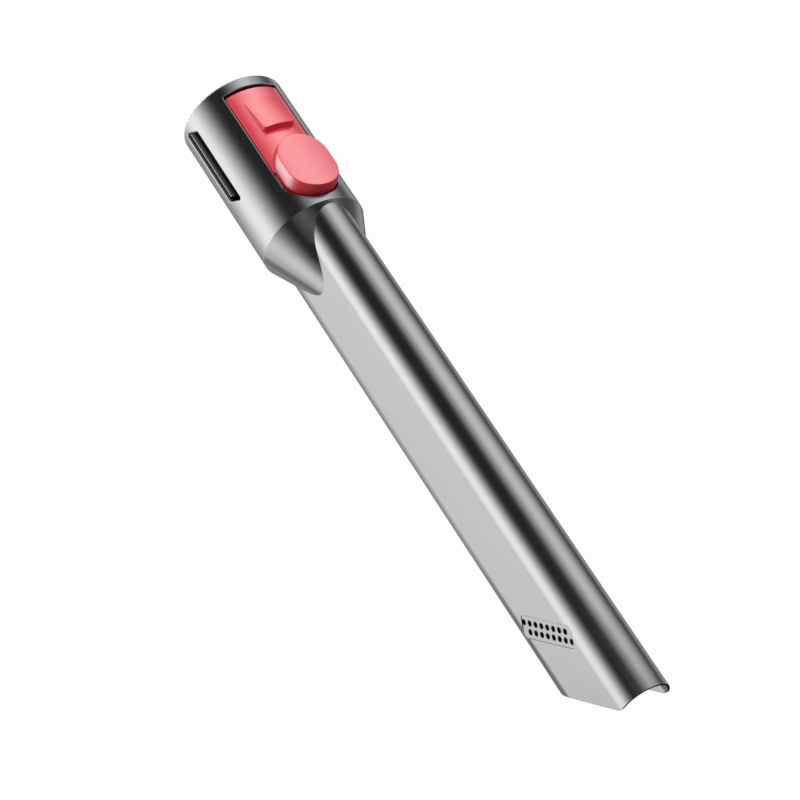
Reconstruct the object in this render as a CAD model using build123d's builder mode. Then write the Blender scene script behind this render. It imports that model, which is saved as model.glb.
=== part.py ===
# Vacuum crevice tool with a quick-release collar
# +X runs along the tool from the socket's rim to the mouth, +Y is the button's side,
# +Z is one flat side. The origin is the centre of the socket's rim. Millimetres.
from build123d import *
from math import cos, radians, sqrt, tan
import os

os.makedirs("parts", exist_ok=True)

# How far a cutting shape runs past the material, and a root into the wall that carries it
overrun = 5.0
root_depth = 0.4

# Collar and cone
collar_radius = 22.0
collar_wall = 1.8
collar_length = 67.7
cone_angle = 24.0
rim_rounding = 0.6
collar_bore_radius = collar_radius - collar_wall

# Nozzle, a tube with flat sides and round narrow sides
tool_length = 301.5
nozzle_half_width = 21.3
nozzle_half_thickness = 10.5
wall_at_cone = 2.0
wall_at_mouth = 0.9
mouth_slant = 43.3
mouth_corner_y = 10.9
mouth_rounding = 5.0
nozzle_flat_half = nozzle_half_width - nozzle_half_thickness
cone_end = collar_length + (collar_radius - nozzle_half_thickness) / tan(radians(cone_angle))

# Ledge inside the cone, which stops the liner
ledge_width = 1.6
ledge_setback = 0.7
ledge_x = collar_length - ledge_setback
ledge_radius = collar_bore_radius - ledge_width

# Bleed holes, two slanted rows through both flat sides, in a shallow panel
bleed_diameter = 2.3
bleed_pitch = 3.6
bleed_count = 8
bleed_row_step = 4.55
bleed_from_mouth = 32.2
panel_depth = 0.2
panel_end_margin = 2.7
panel_side_margin = 1.9
panel_corner = 1.15

# Window for the button, with a round front end
window_rear = 4.8
window_half_width = 12.0
window_land = 3.0
window_corner = 0.8
opening_edge = 0.35
window_front = collar_length - window_land
window_centre = window_front - window_half_width

# Slots in the sides of the collar, with slanted ends and well rounded edges
slot_rear = 4.5
slot_front = 41.6
slot_offset = 0.3
slot_half_width = 3.4
slot_slant = 39.0
slot_corner = 0.7
slot_edge = 0.8
slot_low = slot_offset - slot_half_width
slot_high = slot_offset + slot_half_width
slot_lean = tan(radians(slot_slant))

# Button, set out from the two ends of the window
button_gap = 0.4
button_rear_gap = 1.2
button_recess = 0.4
button_thickness = 1.6
button_edge = 0.3
pad_front_gap = 0.6
pad_length = 28.4
pad_half_width = 11.2
pad_rise = 4.3
pad_shoulder_drop = 0.5
pad_draw_in = 0.8
pad_dome_radius = 50.0
pad_edge = 0.3
pad_wall = 1.7
pad_roof = 2.1
tongue_inset = 6.7
valley_length = 7.5
tongue_half_width = 7.0
tongue_height = 2.7
tongue_front_slope = 0.6
tongue_corner = 2.0
button_radius = collar_radius - button_recess
button_inner_radius = button_radius - button_thickness
button_rear = window_rear + button_rear_gap
plate_half_width = window_half_width - button_gap
pad_front = window_front - pad_front_gap
pad_rear = pad_front - pad_length
pad_centre = (pad_rear + pad_front) / 2
pad_turn = pad_rear + pad_half_width
pad_top = collar_radius + pad_rise
pad_shoulder = collar_radius - pad_shoulder_drop
tongue_rear = window_rear + tongue_inset
tongue_front = pad_rear - valley_length
tongue_end = tongue_front + tongue_front_slope

# Liner, the black sleeve that takes the machine's spigot, and its duct under the button
fit_gap = 0.05
sleeve_gap = 0.5
sleeve_wall = 2.1
entry_step = 0.3
entry_length = 5.8
relief_step = 0.7
relief_end = 13.0
stop_wall = 1.6
duct_step = 1.6
duct_wall = 1.5
roof_drop = 3.4
land_length = 4.0
flange_thickness = 1.6
rail_low = -2.3
rail_high = 0.9
rail_recess = 1.1
rail_bend = 5.7
rail_edge = 0.3
rail_rear_gap = 0.4
rail_front_gap = 2.2
sleeve_radius = collar_bore_radius - sleeve_gap
seat_radius = sleeve_radius - sleeve_wall
entry_radius = seat_radius + entry_step
relief_radius = seat_radius + relief_step
duct_radius = seat_radius - duct_step
duct_outer = duct_radius + duct_wall
roof_height = duct_radius - roof_drop
rail_crest = collar_radius - rail_recess
rail_root = sleeve_radius - root_depth
flange_radius = collar_bore_radius - fit_gap

# Hinge of the button, on ears above the duct's roof and clear of the sleeve's end
pivot_setback = 1.5
pivot_height = 2.6
pivot_clearance = 2.6
pin_radius = 1.0
pin_gap = 0.05
pin_chamfer = 0.2
ear_inner = 8.2
ear_outer = 10.2
ear_radius = 1.9
cheek_thickness = 2.0
cheek_gap = 0.4
cheek_radius = 2.0
pivot_x = pad_rear + pivot_setback
pivot_y = roof_height + pivot_height
sleeve_end = pivot_x - pivot_clearance
seat_end = sleeve_end - stop_wall
cheek_outer = ear_inner - cheek_gap
cheek_inner = cheek_outer - cheek_thickness

# Hook of the button, which drops into the notch of the spigot
hook_inset = 4.1
hook_length = 3.8
hook_half_width = 4.2
hook_reach = 1.3
hook_ramp = 1.6
hook_gap = 1.5
hook_x = window_rear + hook_inset
hook_tip = seat_radius - hook_reach

# Spring under the pad, with closed end turns
spring_radius = 3.1
wire_radius = 0.35
active_turns = 3
closed_pitch = 0.8
stub_radius = 2.2
stub_height = 1.4


def stadium(half_length, half_height):
    """Draw a flat-sided oval, long along the sketch's X."""
    SlotOverall(2 * half_length, 2 * half_height)


def slanted(rear, front, low, high):
    """Draw a slot's outline: two sides along the sketch's X, and slanted ends."""
    Polygon(
        (rear + low * slot_lean, low),
        (front + low * slot_lean, low),
        (front + high * slot_lean, high),
        (rear + high * slot_lean, high),
        align=None,
    )


def lies_at(radius):
    """Make a test for edges that lie at this radius around the tool's axis."""
    places = (0, 0.5, 1)
    return lambda edge: all(abs(sqrt((edge @ t).Y ** 2 + (edge @ t).Z ** 2) - radius) < 0.01 for t in places)


# Nozzle body: collar, cone and nozzle in one moulding
with BuildPart() as nozzle_body:
    with BuildSketch(Plane.YZ):
        Circle(collar_radius)
    extrude(amount=collar_length)
    with BuildSketch(Plane.XY):
        with BuildLine():
            Polyline(
                (collar_length, 0),
                (collar_length, collar_radius),
                (cone_end, nozzle_half_thickness),
                (cone_end, 0),
                close=True,
            )
        make_face()
    revolve(axis=Axis.X)
    with BuildSketch(Plane.YZ.offset(ledge_x)):
        stadium(nozzle_half_width, nozzle_half_thickness)
    extrude(amount=tool_length - ledge_x)
    # Slanted mouth, cut square across the far narrow side
    slant_run = (mouth_corner_y + nozzle_half_width) * tan(radians(mouth_slant))
    with BuildSketch(Plane.XY):
        with BuildLine():
            FilletPolyline(
                (tool_length - slant_run, -nozzle_half_width),
                (tool_length, mouth_corner_y),
                (tool_length, nozzle_half_width + overrun),
                radius=mouth_rounding,
            )
            Polyline(
                (tool_length, nozzle_half_width + overrun),
                (tool_length + overrun, nozzle_half_width + overrun),
                (tool_length + overrun, -nozzle_half_width - overrun),
                (tool_length - slant_run, -nozzle_half_width - overrun),
                (tool_length - slant_run, -nozzle_half_width),
            )
        make_face()
    extrude(amount=collar_radius, both=True, mode=Mode.SUBTRACT)
    fillet(nozzle_body.edges().group_by(Axis.X)[0], rim_rounding)
    # Collar's bore, ledge and the hollow cone
    with BuildSketch(Plane.XY):
        inner_rise = wall_at_cone / cos(radians(cone_angle))
        ledge_end = collar_length + (collar_radius - inner_rise - ledge_radius) / tan(radians(cone_angle))
        inner_tip = collar_length + (collar_radius - inner_rise) / tan(radians(cone_angle))
        with BuildLine():
            Polyline(
                (0, 0),
                (0, collar_bore_radius),
                (ledge_x, collar_bore_radius),
                (ledge_x, ledge_radius),
                (ledge_end, ledge_radius),
                (inner_tip, 0),
                close=True,
            )
        make_face()
    revolve(axis=Axis.X, mode=Mode.SUBTRACT)
    # Airway, whose walls thin towards the mouth
    with BuildSketch(Plane.YZ.offset(ledge_end)):
        stadium(nozzle_half_width - wall_at_cone, nozzle_half_thickness - wall_at_cone)
    with BuildSketch(Plane.YZ.offset(tool_length)):
        stadium(nozzle_half_width - wall_at_mouth, nozzle_half_thickness - wall_at_mouth)
    loft(ruled=True, mode=Mode.SUBTRACT)
    # Window for the button
    with BuildSketch(Plane.XZ.offset(-collar_radius - overrun)):
        with BuildLine():
            Line((window_centre, window_half_width), (window_rear, window_half_width))
            Line((window_rear, window_half_width), (window_rear, -window_half_width))
            Line((window_rear, -window_half_width), (window_centre, -window_half_width))
            ThreePointArc(
                (window_centre, -window_half_width),
                (window_front, 0),
                (window_centre, window_half_width),
            )
        make_face()
        fillet(vertices().group_by(Axis.X)[0], window_corner)
    extrude(amount=collar_radius, mode=Mode.SUBTRACT)
    fillet(nozzle_body.edges(Select.LAST).filter_by(lies_at(collar_radius)), opening_edge)
    # Side slots
    with BuildSketch(Plane.XY):
        slanted(slot_rear, slot_front, slot_low, slot_high)
        fillet(vertices(), slot_corner)
    extrude(amount=collar_radius, both=True, mode=Mode.SUBTRACT)
    fillet(nozzle_body.edges(Select.LAST).filter_by(lies_at(collar_radius)), slot_edge)
    # Panel and bleed holes in both flat sides
    row_angle = 90 - mouth_slant
    row_x = tool_length - mouth_corner_y * tan(radians(mouth_slant)) - bleed_from_mouth
    row_length = (bleed_count - 1) * bleed_pitch
    with BuildSketch(Plane.XY.offset(nozzle_half_thickness), Plane.XY.offset(-nozzle_half_thickness)):
        with Locations((row_x, 0)):
            Rectangle(
                row_length + 2 * panel_end_margin,
                bleed_row_step + 2 * panel_side_margin,
                rotation=row_angle,
            )
        fillet(vertices(), panel_corner)
    extrude(amount=panel_depth, both=True, mode=Mode.SUBTRACT)
    with BuildSketch(Plane.XY):
        for side in (-1, 1):
            with Locations(Location((row_x + side * bleed_row_step / 2, 0), row_angle)):
                with GridLocations(bleed_pitch, 1, bleed_count, 1):
                    Circle(bleed_diameter / 2)
    extrude(amount=nozzle_half_thickness, both=True, mode=Mode.SUBTRACT)

nozzle_body.part.label = "nozzle_body"
export_step(nozzle_body.part, "parts/nozzle_body.step")

# Rails of the liner that show in the collar's slots, high on one side and sloping to the sleeve
with BuildPart() as rails:
    with BuildSketch(Plane.YZ):
        with BuildLine():
            RadiusArc((rail_low, rail_crest), (rail_high, sleeve_radius), rail_bend)
            Polyline(
                (rail_high, sleeve_radius),
                (rail_high, rail_root),
                (rail_low, rail_root),
                (rail_low, rail_crest),
            )
        make_face()
        fillet(vertices().sort_by(Axis.Y)[-1], rail_edge)
    extrude(amount=sleeve_end + slot_front)
    with BuildSketch(Plane.XY):
        slanted(slot_rear + rail_rear_gap, slot_front - rail_front_gap, rail_low, rail_high)
    extrude(amount=collar_radius, mode=Mode.INTERSECT)
    mirror(about=Plane.XY)

# Socket liner: bore for the spigot, then a duct with a flat roof under the button
with BuildPart() as socket_liner:
    with BuildSketch(Plane.YZ):
        Circle(sleeve_radius)
    extrude(amount=sleeve_end)
    with BuildSketch(Plane.YZ):
        Circle(flange_radius)
    extrude(amount=land_length)
    with BuildSketch(Plane.YZ.offset(seat_end)):
        Circle(duct_outer)
        with Locations((roof_height + duct_outer, 0)):
            Rectangle(2 * duct_outer, 2 * duct_outer, mode=Mode.SUBTRACT)
    extrude(amount=ledge_x - seat_end)
    with BuildSketch(Plane.YZ.offset(ledge_x - flange_thickness)):
        Circle(flange_radius)
    extrude(amount=flange_thickness)
    add(rails.part)
    # Ears for the hinge pin, and a stub that holds the spring
    with BuildSketch(Plane.XY.offset(ear_inner), Plane.XY.offset(-ear_outer)):
        with Locations((pivot_x, pivot_y)):
            Circle(ear_radius)
        with Locations((pivot_x, (pivot_y + roof_height - root_depth) / 2)):
            Rectangle(2 * ear_radius, pivot_y - roof_height + root_depth)
    extrude(amount=ear_outer - ear_inner)
    with BuildSketch(Plane.XZ.offset(-roof_height)):
        with Locations((pad_centre, 0)):
            Circle(stub_radius)
    extrude(amount=-stub_height)
    with BuildSketch(Plane.XY):
        with Locations((pivot_x, pivot_y)):
            Circle(pin_radius + fit_gap / 2)
    extrude(amount=ear_outer, both=True, mode=Mode.SUBTRACT)
    # Stepped bore
    with BuildSketch(Plane.XY):
        with BuildLine():
            Polyline(
                (0, 0),
                (0, entry_radius),
                (entry_length, entry_radius),
                (entry_length, relief_radius),
                (relief_end, relief_radius),
                (relief_end, seat_radius),
                (seat_end, seat_radius),
                (seat_end, 0),
                close=True,
            )
        make_face()
    revolve(axis=Axis.X, mode=Mode.SUBTRACT)
    with BuildSketch(Plane.YZ.offset(seat_end - overrun)):
        Circle(duct_radius)
        with Locations((roof_height - duct_wall + duct_radius, 0)):
            Rectangle(2 * duct_radius, 2 * duct_radius, mode=Mode.SUBTRACT)
    extrude(amount=ledge_x - seat_end + overrun, mode=Mode.SUBTRACT)
    # Opening for the button's hook
    with BuildSketch(Plane.XZ.offset(-collar_radius)):
        with Locations((hook_x, 0)):
            Rectangle(hook_length + 2 * hook_gap, 2 * (hook_half_width + hook_gap))
    extrude(amount=collar_radius - roof_height, mode=Mode.SUBTRACT)

socket_liner.part.label = "socket_liner"
export_step(socket_liner.part, "parts/socket_liner.step")

# Pad of the button: straight below its shoulder, then bulging in to a curved top
with BuildPart() as pad:
    with BuildSketch(Plane.YZ.offset(pad_turn)) as pad_section:
        with BuildLine():
            TangentArc(
                (pad_shoulder, pad_half_width),
                (pad_top, pad_half_width - pad_draw_in),
                tangent=(1, 0),
            )
            Polyline(
                (pad_top, pad_half_width - pad_draw_in),
                (pad_top, 0),
                (roof_height, 0),
                (roof_height, pad_half_width),
                (pad_shoulder, pad_half_width),
            )
        make_face()
    revolve(axis=Axis((pad_turn, 0, 0), (0, 1, 0)))
    extrude(pad_section.sketch, amount=pad_centre - pad_turn)
    mirror(about=Plane.XY)
    mirror(about=Plane.YZ.offset(pad_centre))
    with BuildSketch(Plane.YZ):
        with Locations((pad_top - pad_dome_radius, 0)):
            Circle(pad_dome_radius)
    extrude(amount=collar_length, mode=Mode.INTERSECT)
    fillet(pad.faces().sort_by(Axis.Y)[-1].edges(), pad_edge)

# Tongue of the button: a ramp that ends in a step
tongue_root = button_inner_radius + root_depth
with BuildPart() as tongue:
    with BuildSketch(Plane.XY):
        with BuildLine():
            Polyline(
                (tongue_rear, tongue_root),
                (tongue_rear, button_radius),
                (tongue_front, button_radius + tongue_height),
                (tongue_end, button_radius),
                (tongue_end, tongue_root),
                close=True,
            )
        make_face()
    revolve(axis=Axis.X)
    with BuildSketch(Plane.XZ):
        with Locations(((tongue_rear + tongue_end) / 2, 0)):
            Rectangle(tongue_end - tongue_rear, 2 * tongue_half_width)
        fillet(vertices().group_by(Axis.X)[-1], tongue_corner)
    extrude(amount=-collar_radius - tongue_height, mode=Mode.INTERSECT)

# Release button: curved plate, tongue, pad, hinge cheeks and hook in one moulding
cheek_top = sqrt(button_inner_radius**2 - cheek_inner**2) + root_depth
with BuildPart() as release_button:
    with BuildSketch(Plane.XZ):
        with Locations(((button_rear + pad_turn) / 2, 0)):
            Rectangle(pad_turn - button_rear, 2 * plate_half_width)
        fillet(vertices().group_by(Axis.X)[0], window_corner)
    extrude(amount=-collar_radius)
    with BuildSketch(Plane.YZ):
        Circle(button_radius)
    extrude(amount=collar_length, mode=Mode.INTERSECT)
    plate_rim = release_button.edges().filter_by(lies_at(button_radius))
    fillet(plate_rim.filter_by(lambda edge: edge.center().X < pad_turn - button_edge), button_edge)
    add(tongue.part)
    add(pad.part)
    with BuildSketch(Plane.YZ):
        Circle(button_inner_radius)
    extrude(amount=collar_length, mode=Mode.SUBTRACT)
    with BuildSketch(Plane.XZ):
        with Locations((pad_centre, 0)):
            stadium((pad_front - pad_rear) / 2 - pad_wall, pad_half_width - pad_wall)
    extrude(amount=-pad_top + pad_roof, mode=Mode.SUBTRACT)
    with BuildSketch(Plane.XY.offset(cheek_inner), Plane.XY.offset(-cheek_outer)):
        with Locations((pivot_x, pivot_y)):
            Circle(cheek_radius)
        with Locations((pivot_x, (pivot_y + cheek_top) / 2)):
            Rectangle(2 * cheek_radius, cheek_top - pivot_y)
    extrude(amount=cheek_thickness)
    with BuildSketch(Plane.XY):
        with Locations((pivot_x, pivot_y)):
            Circle(pin_radius + pin_gap)
    extrude(amount=ear_inner, both=True, mode=Mode.SUBTRACT)
    with BuildSketch(Plane.XY):
        hook_rear = hook_x - hook_length / 2
        hook_root = button_inner_radius + root_depth
        with BuildLine():
            Polyline(
                (hook_rear, hook_root),
                (hook_rear, hook_tip + hook_ramp),
                (hook_rear + hook_ramp, hook_tip),
                (hook_rear + hook_length, hook_tip),
                (hook_rear + hook_length, hook_root),
                close=True,
            )
        make_face()
    extrude(amount=hook_half_width, both=True)
    with BuildSketch(Plane.XZ.offset(-pad_top + pad_roof)):
        with Locations((pad_centre, 0)):
            Circle(stub_radius)
    extrude(amount=stub_height)

release_button.part.label = "release_button"
export_step(release_button.part, "parts/release_button.step")

# Hinge pin
with BuildPart() as pivot_pin:
    with BuildSketch(Plane.XY.offset(-ear_outer)):
        with Locations((pivot_x, pivot_y)):
            Circle(pin_radius)
    extrude(amount=2 * ear_outer)
    chamfer(pivot_pin.edges().filter_by(GeomType.CIRCLE), pin_chamfer)

pivot_pin.part.label = "pivot_pin"
export_step(pivot_pin.part, "parts/pivot_pin.step")

# Compression spring between the duct's roof and the pad
spring_bottom = roof_height + wire_radius
spring_height = pad_top - pad_roof - roof_height - 2 * wire_radius
active_pitch = (spring_height - 2 * closed_pitch) / active_turns
with BuildPart() as button_spring:
    with BuildLine() as coil:
        wire_y = spring_bottom
        for pitch in [closed_pitch] + active_turns * [active_pitch] + [closed_pitch]:
            for side in (1, -1):
                ThreePointArc(
                    (pad_centre + side * spring_radius, wire_y, 0),
                    (pad_centre, wire_y + pitch / 4, side * spring_radius),
                    (pad_centre - side * spring_radius, wire_y + pitch / 2, 0),
                )
                wire_y += pitch / 2
    with BuildSketch(Plane(origin=coil.line @ 0, z_dir=coil.line % 0)):
        Circle(wire_radius)
    sweep(path=coil.wires()[0])

button_spring.part.label = "button_spring"
export_step(button_spring.part, "parts/button_spring.step")
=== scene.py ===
import bpy
import math
from mathutils import Matrix, Vector


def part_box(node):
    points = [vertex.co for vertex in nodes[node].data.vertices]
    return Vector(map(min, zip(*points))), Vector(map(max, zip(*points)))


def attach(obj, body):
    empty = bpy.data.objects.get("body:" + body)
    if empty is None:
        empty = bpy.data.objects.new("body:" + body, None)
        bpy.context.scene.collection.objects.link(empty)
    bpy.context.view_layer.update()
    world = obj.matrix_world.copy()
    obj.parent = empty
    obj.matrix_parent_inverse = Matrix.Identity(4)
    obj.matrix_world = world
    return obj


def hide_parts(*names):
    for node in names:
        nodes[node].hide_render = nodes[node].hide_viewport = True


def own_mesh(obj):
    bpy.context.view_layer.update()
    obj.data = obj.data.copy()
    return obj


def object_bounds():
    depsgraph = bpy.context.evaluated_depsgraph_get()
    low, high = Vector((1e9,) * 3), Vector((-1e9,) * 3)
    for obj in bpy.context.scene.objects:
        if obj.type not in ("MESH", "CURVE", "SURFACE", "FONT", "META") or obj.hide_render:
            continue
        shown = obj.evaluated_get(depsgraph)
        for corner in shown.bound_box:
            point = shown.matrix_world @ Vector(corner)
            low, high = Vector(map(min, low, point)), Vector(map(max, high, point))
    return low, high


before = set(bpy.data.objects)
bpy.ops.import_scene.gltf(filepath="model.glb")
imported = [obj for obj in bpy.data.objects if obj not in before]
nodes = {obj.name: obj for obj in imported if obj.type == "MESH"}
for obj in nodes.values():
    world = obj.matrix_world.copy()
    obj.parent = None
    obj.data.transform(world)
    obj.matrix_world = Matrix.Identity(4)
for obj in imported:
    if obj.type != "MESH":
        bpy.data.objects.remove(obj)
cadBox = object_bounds()
scene = bpy.context.scene
print("frame loaded:", ", ".join(sorted(nodes)))

# Camera, fitted to the collar, the nozzle's edges, the mouth and the bleed holes
cameraSettings = {
    "location": (0.59834, 0.74535, 0.52052),
    "right": (0.49288, 0.27125, -0.82674),
    "up": (-0.74795, 0.61755, -0.2433),
    "lens": 121.638,
    "sensor": 36.0,
}


def addCamera(settings):
    data = bpy.data.cameras.new("camera")
    data.lens = settings["lens"]
    data.sensor_width = settings["sensor"]
    camera = bpy.data.objects.new("camera", data)
    scene.collection.objects.link(camera)
    right = Vector(settings["right"]).normalized()
    back = right.cross(Vector(settings["up"])).normalized()
    up = back.cross(right)
    turn = Matrix((right, up, back)).transposed().to_4x4()
    camera.matrix_world = Matrix.Translation(settings["location"]) @ turn
    scene.camera = camera


addCamera(cameraSettings)
print("camera placed")

# Places of the sockets that a colour Mix node uses
mixSockets = {"mask": 0, "under": 6, "over": 7, "result": 2}


# Small helpers for node trees. What is fed to a socket is a number, a colour or another socket
def feed(tree, socket, value):
    if isinstance(value, bpy.types.NodeSocket):
        tree.links.new(value, socket)
    elif socket.type == "RGBA":
        socket.default_value = (*value, 1.0)
    else:
        socket.default_value = value


def feedAll(tree, node, values):
    for label, value in values.items():
        feed(tree, node.inputs[label], value)
    return node


def addNode(tree, kind, **options):
    node = tree.nodes.new(kind)
    for name, value in options.items():
        setattr(node, name, value)
    return node


def addMath(tree, operation, *values, **options):
    node = addNode(tree, "ShaderNodeMath", operation=operation, **options)
    for socket, value in zip(node.inputs, values):
        feed(tree, socket, value)
    return node.outputs[0]


def addVectorMath(tree, operation, *values):
    node = addNode(tree, "ShaderNodeVectorMath", operation=operation)
    for socket, value in zip(node.inputs, values):
        feed(tree, socket, value)
    return node


def addRange(tree, value, fromMin, fromMax, toMin=0.0, toMax=1.0, blend="LINEAR"):
    node = addNode(tree, "ShaderNodeMapRange", interpolation_type=blend)
    feedAll(tree, node, {
        "Value": value,
        "From Min": fromMin,
        "From Max": fromMax,
        "To Min": toMin,
        "To Max": toMax,
    })
    return node.outputs["Result"]


def mixOver(tree, mask, under, over):
    mix = addNode(tree, "ShaderNodeMix", data_type="RGBA")
    feed(tree, mix.inputs[mixSockets["mask"]], mask)
    feed(tree, mix.inputs[mixSockets["under"]], under)
    feed(tree, mix.inputs[mixSockets["over"]], over)
    return mix.outputs[mixSockets["result"]]


def splitVector(tree, vector):
    node = tree.nodes.new("ShaderNodeSeparateXYZ")
    feed(tree, node.inputs["Vector"], vector)
    return node.outputs


def joinAcross(tree, y, z):
    node = tree.nodes.new("ShaderNodeCombineXYZ")
    feedAll(tree, node, {"Y": y, "Z": z})
    return node.outputs["Vector"]


def newMaterial(name):
    material = bpy.data.materials.new(name)
    material.use_nodes = True
    material.node_tree.nodes.clear()
    return material, material.node_tree


def newGroup(name, inputs, outputs):
    group = bpy.data.node_groups.new(name, "ShaderNodeTree")
    for label, kind, start in inputs:
        socket = group.interface.new_socket(name=label, in_out="INPUT", socket_type=kind)
        socket.default_value = start
    for label, kind in outputs:
        group.interface.new_socket(name=label, in_out="OUTPUT", socket_type=kind)
    return group, group.nodes.new("NodeGroupInput"), group.nodes.new("NodeGroupOutput")


def placeGroup(tree, group, values):
    node = tree.nodes.new("ShaderNodeGroup")
    node.node_tree = group
    return feedAll(tree, node, values)


# Moulded surface: fine spark-eroded grain, and slow changes of gloss from handling
mouldedSettings = {
    "grainDetail": 2.0,
    "smudgeScale": 45.0,
    "smudgeDetail": 3.0,
    "smudgeLow": 0.3,
    "smudgeHigh": 0.7,
}


def makeMouldedSurface(settings):
    group, given, result = newGroup(
        "mouldedSurface",
        [
            ("Grain Size", "NodeSocketFloat", 0.0003),
            ("Gloss Low", "NodeSocketFloat", 0.3),
            ("Gloss High", "NodeSocketFloat", 0.36),
        ],
        [
            ("Height", "NodeSocketFloat"),
            ("Roughness", "NodeSocketFloat"),
            ("Speckle", "NodeSocketFloat"),
        ],
    )
    place = group.nodes.new("ShaderNodeTexCoord").outputs["Object"]
    scale = addMath(group, "DIVIDE", 1.0, given.outputs["Grain Size"])
    grain = feedAll(group, group.nodes.new("ShaderNodeTexNoise"), {
        "Vector": place,
        "Scale": scale,
        "Detail": settings["grainDetail"],
    })
    flake = feedAll(group, group.nodes.new("ShaderNodeTexVoronoi"), {
        "Vector": place,
        "Scale": scale,
    })
    smudge = feedAll(group, group.nodes.new("ShaderNodeTexNoise"), {
        "Vector": place,
        "Scale": settings["smudgeScale"],
        "Detail": settings["smudgeDetail"],
    })
    gloss = addRange(
        group,
        smudge.outputs["Fac"],
        settings["smudgeLow"],
        settings["smudgeHigh"],
        given.outputs["Gloss Low"],
        given.outputs["Gloss High"],
    )
    feedAll(group, result, {
        "Height": grain.outputs["Fac"],
        "Roughness": gloss,
        "Speckle": flake.outputs["Color"],
    })
    return group


# Softened edges: a rounded normal, and a mask that is 1 on the edges. The mask sets in where the
# two normals stop being alike
softEdgeSettings = {"samples": 6, "alike": 0.995, "unlike": 0.9}


def makeSoftEdges(settings):
    group, given, result = newGroup(
        "softEdges",
        [("Reach", "NodeSocketFloat", 0.0003)],
        [("Normal", "NodeSocketVector"), ("Edge", "NodeSocketFloat")],
    )
    bevel = addNode(group, "ShaderNodeBevel", samples=settings["samples"])
    feed(group, bevel.inputs["Radius"], given.outputs["Reach"])
    rounded = bevel.outputs["Normal"]
    plain = group.nodes.new("ShaderNodeNewGeometry").outputs["Normal"]
    likeness = addVectorMath(group, "DOT_PRODUCT", rounded, plain).outputs["Value"]
    feedAll(group, result, {
        "Normal": rounded,
        "Edge": addRange(group, likeness, settings["alike"], settings["unlike"]),
    })
    return group


# Parts of the shell: a mask that is 1 on the mouth's rim and in the bleed holes' bores, which face
# sideways, one that is 1 past the collar, and one that is 1 past the cone. A face is sideways where
# it hardly faces out from the middle of the nozzle's section
shellPartSettings = {
    "flatHalf": 0.0108,
    "collarEnd": 0.07,
    "coneEnd": 0.097,
    "outwardFace": 0.4,
    "sidewaysFace": 0.2,
}


def makeShellParts(settings):
    group, given, result = newGroup(
        "shellParts",
        [
            ("Flat Half", "NodeSocketFloat", settings["flatHalf"]),
            ("Collar End", "NodeSocketFloat", settings["collarEnd"]),
            ("Cone End", "NodeSocketFloat", settings["coneEnd"]),
        ],
        [
            ("Shaded Cut Face", "NodeSocketFloat"),
            ("Past Collar", "NodeSocketFloat"),
            ("Past Cone", "NodeSocketFloat"),
        ],
    )
    surface = group.nodes.new("ShaderNodeTexCoord").outputs
    place = splitVector(group, surface["Object"])
    flatHalf = given.outputs["Flat Half"]
    flat = feedAll(group, group.nodes.new("ShaderNodeClamp"), {
        "Value": place["Y"],
        "Min": addMath(group, "MULTIPLY", flatHalf, -1.0),
        "Max": flatHalf,
    })
    beyond = addMath(group, "SUBTRACT", place["Y"], flat.outputs["Result"])
    across = joinAcross(group, beyond, place["Z"])
    outward = addVectorMath(group, "NORMALIZE", across).outputs["Vector"]
    facing = addVectorMath(group, "DOT_PRODUCT", outward, surface["Normal"]).outputs["Value"]
    straight = addMath(group, "ABSOLUTE", facing)
    sideways = addRange(group, straight, settings["outwardFace"], settings["sidewaysFace"])
    pastCollar = addMath(group, "GREATER_THAN", place["X"], given.outputs["Collar End"])
    feedAll(group, result, {
        "Shaded Cut Face": addMath(group, "MULTIPLY", sideways, pastCollar),
        "Past Collar": pastCollar,
        "Past Cone": addMath(group, "GREATER_THAN", place["X"], given.outputs["Cone End"]),
    })
    return group


mouldedSurface = makeMouldedSurface(mouldedSettings)
softEdges = makeSoftEdges(softEdgeSettings)
shellParts = makeShellParts(shellPartSettings)


def newShaderMaterial(name, values):
    material, tree = newMaterial(name)
    shader = feedAll(tree, tree.nodes.new("ShaderNodeBsdfPrincipled"), values)
    out = tree.nodes.new("ShaderNodeOutputMaterial")
    feed(tree, out.inputs["Surface"], shader.outputs["BSDF"])
    return material, tree, shader


# Grain and soft edges for a material. Gives back its masks
def addSurface(tree, shader, settings):
    surface = placeGroup(tree, mouldedSurface, {
        "Grain Size": settings["grainSize"],
        "Gloss Low": settings["glossLow"],
        "Gloss High": settings["glossHigh"],
    })
    edges = placeGroup(tree, softEdges, {"Reach": settings["edgeReach"]})
    bump = feedAll(tree, tree.nodes.new("ShaderNodeBump"), {
        "Strength": settings["grainStrength"],
        "Distance": settings["grainDepth"],
        "Height": surface.outputs["Height"],
        "Normal": edges.outputs["Normal"],
    })
    feedAll(tree, shader, {
        "Normal": bump.outputs["Normal"],
        "Roughness": surface.outputs["Roughness"],
    })
    return {"speckle": surface.outputs["Speckle"], "edge": edges.outputs["Edge"]}


# Nozzle body: metallic grey moulding, paler along the collar's edges as a painted highlight that
# also stands for rubbing wear, with painted shade along the nozzle's edges and on its cut faces
shellSettings = {
    "darkFlake": (0.315, 0.32, 0.328),
    "lightFlake": (0.345, 0.35, 0.358),
    "glossLow": 0.18,
    "glossHigh": 0.22,
    # Pale colour on the collar's edges: a painted highlight that also stands for rubbing wear
    "wearAndHighlight": (0.7, 0.71, 0.72),
    # Dark colour painted on the cut faces as shade
    "shadedCutFace": (0.03, 0.03, 0.032),
    # How far the nozzle's edges are darkened, as painted shade
    "edgeShade": 0.6,
    "grainSize": 0.00012,
    "grainDepth": 0.000004,
    "grainStrength": 0.2,
    "edgeReach": 0.00015,
    "wearAndHighlightReach": 0.0005,
    "edgeShadeReach": 0.0004,
}


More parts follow.
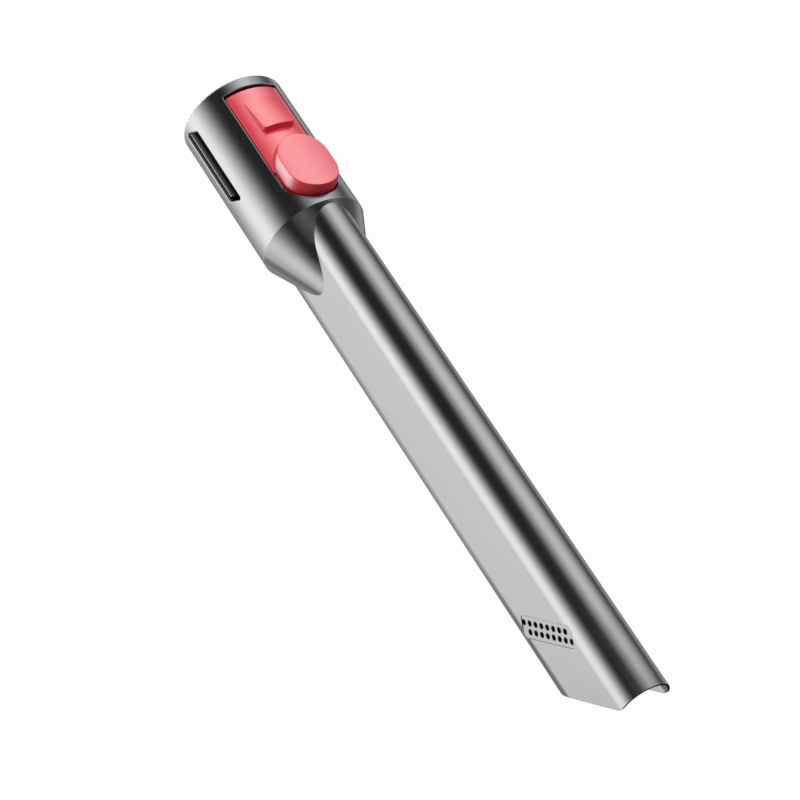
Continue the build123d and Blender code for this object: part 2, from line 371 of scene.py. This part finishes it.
def makeShell(settings):
    material, tree, shader = newShaderMaterial("metallicGreyShell", {"Metallic": 1.0})
    masks = addSurface(tree, shader, settings)
    parts = placeGroup(tree, shellParts, {}).outputs
    wearAndHighlight = placeGroup(tree, softEdges, {"Reach": settings["wearAndHighlightReach"]}).outputs["Edge"]
    corners = placeGroup(tree, softEdges, {"Reach": settings["edgeShadeReach"]}).outputs["Edge"]
    flakes = mixOver(tree, masks["speckle"], settings["darkFlake"], settings["lightFlake"])
    # Painted highlight on the collar's edges, also standing for rubbing wear
    collarEdge = addMath(tree, "SUBTRACT", wearAndHighlight, parts["Past Collar"], use_clamp=True)
    bright = mixOver(tree, collarEdge, flakes, settings["wearAndHighlight"])
    # Painted shade along the nozzle's edges
    nozzleEdge = addMath(tree, "MULTIPLY", corners, parts["Past Cone"])
    edgeShade = addMath(tree, "MULTIPLY", nozzleEdge, settings["edgeShade"])
    # Painted shade: dark colour on the cut faces (the mouth's rim and the bleed holes' bores) and
    # along the nozzle's edges
    dark = addMath(tree, "MAXIMUM", parts["Shaded Cut Face"], edgeShade)
    feed(tree, shader.inputs["Base Color"], mixOver(tree, dark, bright, settings["shadedCutFace"]))
    return material


# Release button: semi-gloss red, with painted shade on its edges, which are deeper red and less
# glossy, and on the walls that face along the tool, whose sheen is taken off as painted shade
buttonSettings = {
    "red": (0.80, 0.045, 0.072),
    # Deeper red painted on the edges as shade
    "shadedEdgeRed": (0.72, 0.04, 0.06),
    "glossLow": 0.32,
    "glossHigh": 0.36,
    "grainSize": 0.00025,
    "grainDepth": 0.000004,
    "grainStrength": 0.4,
    "edgeReach": 0.0004,
    "shine": 0.2,
    # Sheen left on the walls that face along the tool: taken off, as painted shade
    "shadedWallSheen": 0.0,
    "wallFrom": 0.1,
    "wallTo": 0.6,
    # Sheen left on the edges, lowered as painted shade
    "shadedEdgeSheen": 0.3,
    "coatRoughness": 0.2,
    "coatBend": 2.55,
}


# Coat weight: the sheen is taken off the walls that face along the tool and lowered on the edges,
# as painted shade
def addSheenWeight(tree, edge, settings):
    normal = splitVector(tree, tree.nodes.new("ShaderNodeTexCoord").outputs["Normal"])
    along = addMath(tree, "ABSOLUTE", normal["X"])
    shadedWallSheen = addRange(
        tree,
        along,
        settings["wallFrom"],
        settings["wallTo"],
        1.0,
        settings["shadedWallSheen"],
        "SMOOTHSTEP",
    )
    shadedEdgeSheen = addRange(tree, edge, 0.0, 1.0, 1.0, settings["shadedEdgeSheen"])
    return addMath(tree, "MULTIPLY", shadedWallSheen, shadedEdgeSheen)


def makeButtonRed(settings):
    material, tree, shader = newShaderMaterial("redButton", {
        "Specular IOR Level": settings["shine"],
        "Coat Roughness": settings["coatRoughness"],
        "Coat IOR": settings["coatBend"],
    })
    edge = addSurface(tree, shader, settings)["edge"]
    feedAll(tree, shader, {
        # Deeper red painted on the edges as shade
        "Base Color": mixOver(tree, edge, settings["red"], settings["shadedEdgeRed"]),
        "Coat Weight": addSheenWeight(tree, edge, settings),
    })
    return material


# Socket liner: fine matt black, with a sheen that is strongest on the crests of its two rails and
# fades away from them as painted shade, a pale painted highlight on the crests that also stands for
# wear, and a little greyer and smoother in the bore, where the spigot slides
linerSettings = {
    "black": (0.003, 0.003, 0.0033),
    # Pale colour on the rail crests: a painted highlight that also stands for wear
    "wearAndHighlight": (0.5, 0.5, 0.51),
    "glossLow": 0.36,
    "glossHigh": 0.44,
    "grainSize": 0.0004,
    "grainDepth": 0.000005,
    "grainStrength": 0.5,
    "edgeReach": 0.00015,
    "shine": 0.03,
    "polishRoughness": 0.22,
    # Sheen on the rail crests, fading away from them as painted shade
    "crestSheen": 0.75,
    "crestSheenReach": 0.0029,
    "crestAcross": -0.0022,
    "crestHeight": 0.0208,
    "crestReach": 0.0009,
    "crestCore": 0.00036,
    "boreBlack": (0.02, 0.02, 0.021),
    "borePolish": 0.45,
    "boreRadius": 0.019,
}


def addLinerMasks(tree, settings):
    place = splitVector(tree, tree.nodes.new("ShaderNodeTexCoord").outputs["Object"])
    section = joinAcross(tree, place["Y"], addMath(tree, "ABSOLUTE", place["Z"]))
    crestPlace = (0.0, settings["crestAcross"], settings["crestHeight"])
    away = addVectorMath(tree, "DISTANCE", section, crestPlace).outputs["Value"]
    crest = addRange(
        tree,
        away,
        settings["crestReach"],
        settings["crestCore"],
        blend="SMOOTHSTEP",
    )
    # Sheen that fades away from the crests, as painted shade
    crestSheen = addRange(tree, away, settings["crestSheenReach"], 0.0, 0.0, settings["crestSheen"])
    radius = addVectorMath(tree, "LENGTH", section).outputs["Value"]
    bore = addMath(tree, "LESS_THAN", radius, settings["boreRadius"])
    smooth = addMath(tree, "MULTIPLY_ADD", bore, settings["borePolish"], crestSheen)
    return crest, bore, smooth


def makeLinerBlack(settings):
    material, tree, shader = newShaderMaterial("linerBlack", {
        "Specular IOR Level": settings["shine"],
        "Coat Roughness": settings["polishRoughness"],
    })
    addSurface(tree, shader, settings)
    crest, bore, smooth = addLinerMasks(tree, settings)
    # Painted highlight on the rail crests, also standing for wear
    outside = mixOver(tree, crest, settings["black"], settings["wearAndHighlight"])
    feedAll(tree, shader, {
        "Base Color": mixOver(tree, bore, outside, settings["boreBlack"]),
        "Coat Weight": smooth,
    })
    return material


# Pin and spring: bright drawn steel with a fine grain
steelSettings = {
    "bright": (0.62, 0.62, 0.64),
    "dull": (0.5, 0.5, 0.52),
    "glossLow": 0.2,
    "glossHigh": 0.3,
    "grainSize": 0.0002,
    "grainDepth": 0.000003,
    "grainStrength": 0.3,
    "edgeReach": 0.0001,
}


def makeSteel(settings):
    material, tree, shader = newShaderMaterial("drawnSteel", {"Metallic": 1.0})
    speckle = addSurface(tree, shader, settings)["speckle"]
    colour = mixOver(tree, speckle, settings["dull"], settings["bright"])
    feed(tree, shader.inputs["Base Color"], colour)
    return material


shell = makeShell(shellSettings)
buttonRed = makeButtonRed(buttonSettings)
linerBlack = makeLinerBlack(linerSettings)
steel = makeSteel(steelSettings)


def dress(piece, material):
    piece.data.materials.clear()
    piece.data.materials.append(material)


dress(nodes["nozzle_body"], shell)
dress(nodes["release_button"], buttonRed)
dress(nodes["socket_liner"], linerBlack)
dress(nodes["pivot_pin"], steel)
print("materials made")

# Spring under the pad, drawn finer than the solid it stands for, with closed end turns
springSettings = {
    "wireRadius": 0.00035,
    "closedPitch": 0.0008,
    "activeTurns": 3,
    "stepsAround": 16,
    "stepsPerTurn": 64,
    "pressedShare": 0.88,
}


def springPoint(middle, radius, share, height):
    angle = 2 * math.pi * share
    return Vector((
        middle.x + radius * math.cos(angle),
        height,
        middle.z + radius * math.sin(angle),
    ))


def springLine(settings, middle, coilRadius, low, high):
    closedPitch = settings["closedPitch"]
    activePitch = (high - low - 2 * closedPitch) / settings["activeTurns"]
    line = []
    height = low
    for pitch in [closedPitch] + settings["activeTurns"] * [activePitch] + [closedPitch]:
        for step in range(settings["stepsPerTurn"]):
            share = step / settings["stepsPerTurn"]
            line.append(springPoint(middle, coilRadius, share, height + pitch * share))
        height += pitch
    line.append(springPoint(middle, coilRadius, 0.0, height))
    return line


def tubeAlong(line, radius, around):
    points, faces = [], []
    for index, centre in enumerate(line):
        ahead = line[min(index + 1, len(line) - 1)] - line[max(index - 1, 0)]
        side = ahead.cross(Vector((0, 1, 0))).normalized()
        rise = side.cross(ahead).normalized()
        for step in range(around):
            angle = 2 * math.pi * step / around
            points.append(centre + radius * (math.cos(angle) * side + math.sin(angle) * rise))
    for ring in range(len(line) - 1):
        for step in range(around):
            after = (step + 1) % around
            faces.append((
                ring * around + step,
                (ring + 1) * around + step,
                (ring + 1) * around + after,
                ring * around + after,
            ))
    faces.append(tuple(range(around)))
    faces.append(tuple(reversed(range((len(line) - 1) * around, len(line) * around))))
    return points, [], faces


def addSpring(settings):
    low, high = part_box("button_spring")
    middle = (low + high) / 2
    wire = settings["wireRadius"]
    coilRadius = (high.x - low.x) / 2 - wire
    line = springLine(settings, middle, coilRadius, low.y + wire, high.y - wire)
    mesh = bpy.data.meshes.new("springWire")
    mesh.from_pydata(*tubeAlong(line, wire, settings["stepsAround"]))
    mesh.polygons.foreach_set("use_smooth", [True] * len(mesh.polygons))
    spring = bpy.data.objects.new("springWire", mesh)
    scene.collection.objects.link(spring)
    dress(spring, steel)
    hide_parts("button_spring")
    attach(spring, "tool")
    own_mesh(spring)


addSpring(springSettings)
print("spring wound")


# A mask that is 1 for the camera and for what metal and glass show
def addSeenMask(tree):
    path = tree.nodes.new("ShaderNodeLightPath").outputs
    shiny = addMath(tree, "MAXIMUM", path["Is Glossy Ray"], path["Is Transmission Ray"])
    return addMath(tree, "MAXIMUM", path["Is Camera Ray"], shiny)


def mixShaders(tree, mask, plain, seen):
    mix = tree.nodes.new("ShaderNodeMixShader")
    feed(tree, mix.inputs["Fac"], mask)
    feed(tree, mix.inputs[1], plain)
    feed(tree, mix.inputs[2], seen)
    return mix.outputs["Shader"]


# Floor: pale, with a faint shadow, and white where it is seen. The tool is shown as over a glass
# table, so the floor is left out of reflections
floorSettings = {"half": 3.0, "colour": (0.9, 0.9, 0.9), "whiteShare": 0.975}


def makePaleFloor(settings):
    material, tree = newMaterial("paleFloor")
    matt = tree.nodes.new("ShaderNodeBsdfDiffuse")
    feed(tree, matt.inputs["Color"], settings["colour"])
    white = tree.nodes.new("ShaderNodeEmission")
    share = addMath(tree, "MULTIPLY", addSeenMask(tree), settings["whiteShare"])
    out = tree.nodes.new("ShaderNodeOutputMaterial")
    mixed = mixShaders(tree, share, matt.outputs["BSDF"], white.outputs["Emission"])
    feed(tree, out.inputs["Surface"], mixed)
    return material


def addFloor(settings):
    half = settings["half"]
    height = cadBox[0].z
    signs = ((-1, -1), (1, -1), (1, 1), (-1, 1))
    corners = [(along * half, across * half, height) for along, across in signs]
    mesh = bpy.data.meshes.new("floor")
    mesh.from_pydata(corners, [], [(0, 1, 2, 3)])
    floor = bpy.data.objects.new("floor", mesh)
    scene.collection.objects.link(floor)
    dress(floor, makePaleFloor(settings))
    floor.visible_glossy = False


addFloor(floorSettings)

# World: dim studio, white where it is seen
worldSettings = {"studio": 0.08, "seen": 1.0}


def addWorld(settings):
    world = bpy.data.worlds.new("studio")
    scene.world = world
    world.use_nodes = True
    tree = world.node_tree
    tree.nodes.clear()
    lights = []
    for level in ("studio", "seen"):
        light = tree.nodes.new("ShaderNodeBackground")
        feedAll(tree, light, {"Color": (1.0, 1.0, 1.0), "Strength": settings[level]})
        lights.append(light.outputs["Background"])
    out = tree.nodes.new("ShaderNodeOutputWorld")
    feed(tree, out.inputs["Surface"], mixShaders(tree, addSeenMask(tree), *lights))


addWorld(worldSettings)

# Light tent: a tube of glowing cloth round the tool and its glass table, for reflections only.
# Its glow is set by angle, where 0 is level on the button's side, 90 is overhead and -90 is
# straight below, once for the socket's end and once for the mouth's end. The first gives way to
# the second from mouthFrom to mouthTo along X. Between the angles earlierFrom and earlierTo that
# change moves towards the socket, by the length in earlier
tentSettings = {
    "radius": 0.9,
    "reach": 3.0,
    "facets": 120,
    "mouthFrom": 0.0,
    "mouthTo": 0.06,
    "earlier": 0.16,
    "earlierFrom": 149,
    "earlierTo": 158,
    "socketEnd": (
        (-180, 0.5), (-160, 0.3), (-128, 0.15), (-108, 0.65), (-94, 0.38), (-82, 0.12),
        (-72, 0.25), (-60, 0.62), (-46, 1.04), (-32, 1.45), (-20, 1.55), (-8, 1.15), (2, 0.74),
        (12, 0.38), (20, 0.1), (27, 0.04), (56, 0.04), (66, 0.2), (76, 0.6), (86, 1.15),
        (96, 1.75), (108, 2.35), (120, 2.4), (132, 2.15), (146, 1.52), (160, 0.95), (180, 0.55),
    ),
    "mouthEnd": (
        (-180, 0.3), (-166, 0.05), (-124, 0.04), (-106, 0.7), (-90, 0.5), (-68, 0.06), (-54, 0.2),
        (-44, 0.4), (-30, 0.2), (-10, 0.05), (2, 0.04), (12, 0.13), (24, 0.24), (34, 0.24),
        (46, 0.15), (55, 0.03), (65, 0.02), (74, 0.11), (82, 0.34), (90, 0.65), (98, 1.1),
        (106, 1.45), (116, 1.68), (126, 1.55), (136, 1.25), (146, 0.8), (156, 0.35), (180, 0.3),
    ),
}


def turnShare(angle):
    return (angle + 180) / 360


def addGlow(tree, share, stops, peak):
    ramp = tree.nodes.new("ShaderNodeValToRGB")
    marks = ramp.color_ramp.elements
    for index, (angle, level) in enumerate(stops):
        place = turnShare(angle)
        mark = marks[index] if index < 2 else marks.new(place)
        mark.position = place
        mark.color = (level / peak, level / peak, level / peak, 1.0)
    feed(tree, ramp.inputs["Fac"], share)
    return ramp.outputs["Color"]


def makeGlowingCloth(settings):
    material, tree = newMaterial("glowingCloth")
    place = splitVector(tree, tree.nodes.new("ShaderNodeTexCoord").outputs["Object"])
    share = addRange(tree, addMath(tree, "ARCTAN2", place["Z"], place["Y"]), -math.pi, math.pi)
    shift = addRange(
        tree,
        share,
        turnShare(settings["earlierFrom"]),
        turnShare(settings["earlierTo"]),
        toMax=settings["earlier"],
        blend="SMOOTHSTEP",
    )
    mouth = addRange(
        tree,
        addMath(tree, "ADD", place["X"], shift),
        settings["mouthFrom"],
        settings["mouthTo"],
        blend="SMOOTHSTEP",
    )
    peak = max(level for angle, level in settings["socketEnd"] + settings["mouthEnd"])
    colour = mixOver(
        tree,
        mouth,
        addGlow(tree, share, settings["socketEnd"], peak),
        addGlow(tree, share, settings["mouthEnd"], peak),
    )
    glow = tree.nodes.new("ShaderNodeEmission")
    feedAll(tree, glow, {"Color": colour, "Strength": peak})
    out = tree.nodes.new("ShaderNodeOutputMaterial")
    feed(tree, out.inputs["Surface"], glow.outputs["Emission"])
    return material


def addTent(settings):
    low, high = cadBox
    middle = (low + high) / 2
    points, faces = [], []
    for step in range(settings["facets"] + 1):
        angle = 2 * math.pi * step / settings["facets"]
        for side in (-1, 1):
            points.append((
                middle.x + side * settings["reach"],
                settings["radius"] * math.cos(angle),
                settings["radius"] * math.sin(angle),
            ))
        if step:
            faces.append((2 * step - 2, 2 * step - 1, 2 * step + 1, 2 * step))
    mesh = bpy.data.meshes.new("lightTent")
    mesh.from_pydata(points, [], faces)
    tent = bpy.data.objects.new("lightTent", mesh)
    scene.collection.objects.link(tent)
    dress(tent, makeGlowingCloth(settings))
    tent.visible_camera = False
    tent.visible_diffuse = False


addTent(tentSettings)

# Lamps for matt light only: each is set by its angle round the tool's axis, its way along X
# from the middle, its distance, its size and its brightness
lampSettings = {
    "key": {"angle": 8, "along": -0.35, "away": 0.8, "length": 0.5, "width": 0.4, "level": 10.4},
    "top": {"angle": 100, "along": -0.2, "away": 0.8, "length": 0.6, "width": 0.5, "level": 3.0},
}


def addLamp(name, settings):
    low, high = cadBox
    middle = Vector(((low.x + high.x) / 2, 0, 0))
    angle = math.radians(settings["angle"])
    place = middle + Vector((
        settings["along"],
        settings["away"] * math.cos(angle),
        settings["away"] * math.sin(angle),
    ))
    data = bpy.data.lights.new(name, "AREA")
    data.shape = "RECTANGLE"
    data.size = settings["length"]
    data.size_y = settings["width"]
    data.energy = settings["level"] * math.pi * data.size * data.size_y
    lamp = bpy.data.objects.new(name, data)
    scene.collection.objects.link(lamp)
    lamp.location = place
    lamp.rotation_euler = (place - middle).to_track_quat("Z", "Y").to_euler()
    lamp.visible_camera = False
    lamp.visible_glossy = False


for lampName, lampValues in lampSettings.items():
    addLamp(lampName, lampValues)
scene.view_settings.view_transform = "Standard"
print("stage lit")
